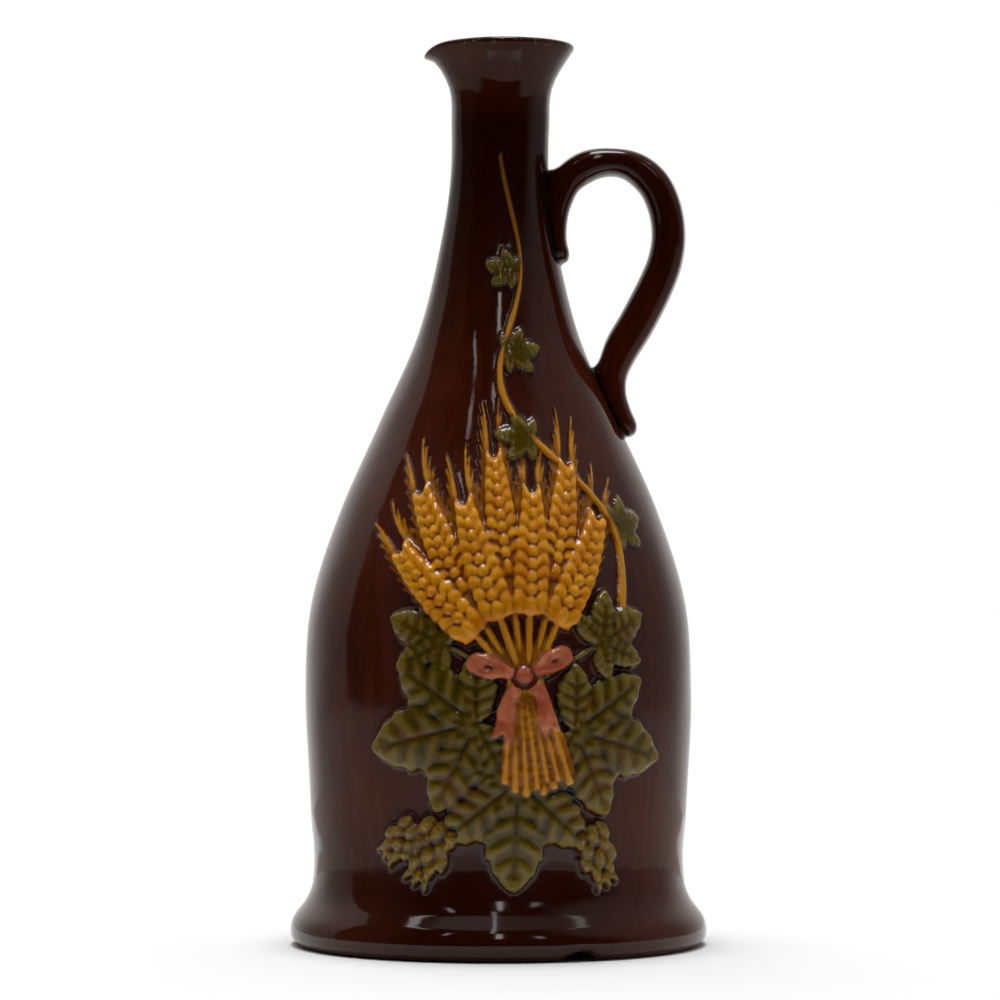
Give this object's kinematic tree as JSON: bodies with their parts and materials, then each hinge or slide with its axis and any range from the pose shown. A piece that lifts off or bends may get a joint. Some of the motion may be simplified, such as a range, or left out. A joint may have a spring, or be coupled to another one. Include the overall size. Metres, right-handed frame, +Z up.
{
  "type": "stoneware flask",
  "caption": "Brown-glazed stoneware spirit flask with a long neck, pouring lip, loop handle and a raised barley-sheaf relief on its front.",
  "frame": {"origin": "centre of the underside, on the surface the flask stands on", "axes": "+Z up the neck, -Y out of the front with the relief, +X towards the handle, -X towards the pouring lip"},
  "size_m": [0.1038, 0.1038, 0.2247],
  "materials": {
    "brown_glaze": "dark treacle-brown gloss glaze, with the raised ears in amber, the leaves in olive green and the bow in dusty pink under it"
  },
  "bodies": {
    "root": {"flask": "brown_glaze"}
  },
  "joints": []
}
